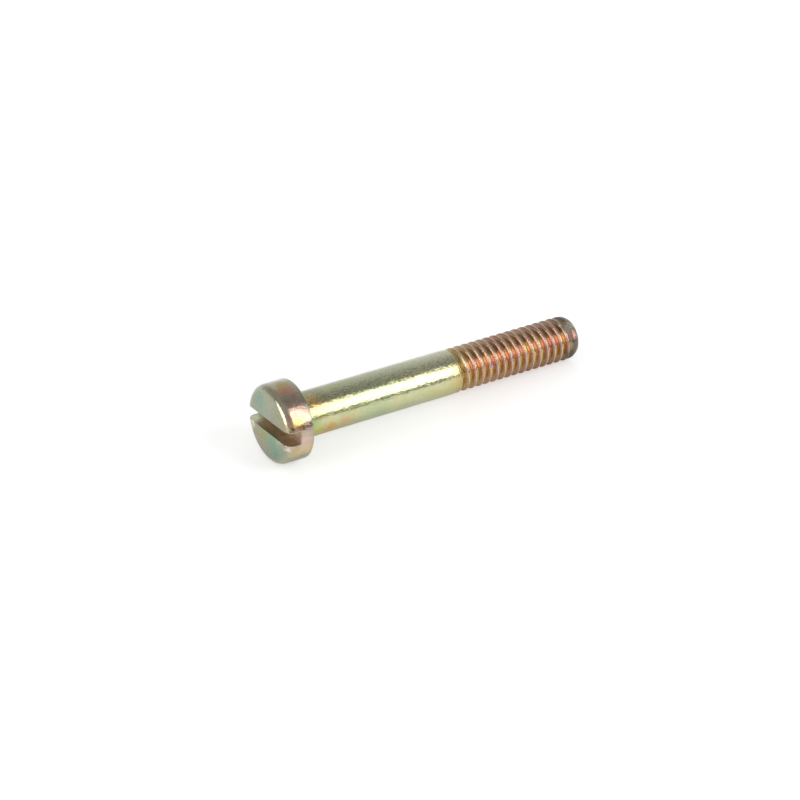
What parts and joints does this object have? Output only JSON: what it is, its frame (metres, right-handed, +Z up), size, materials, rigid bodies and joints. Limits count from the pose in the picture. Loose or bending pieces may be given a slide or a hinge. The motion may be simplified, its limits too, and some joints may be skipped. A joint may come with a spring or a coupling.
{
  "type": "slotted cheese head screw",
  "caption": "Slotted cheese head machine screw with a plain shank and a 4 mm thread at its end, yellow passivated steel, lying on its side.",
  "frame": {"origin": "centre of the bounding box in plan, at the height of the table that the screw lies on", "axes": "+X from the head towards the tip, in plan; +Z up; the screw's own axis dips 3.2 degrees from +X towards the table, because the head is wider than the thread"},
  "size_m": [0.0306, 0.0068, 0.0069],
  "materials": {
    "steel": "bright zinc plate, yellow passivated"
  },
  "bodies": {
    "root": {"screw": "steel"}
  },
  "joints": []
}
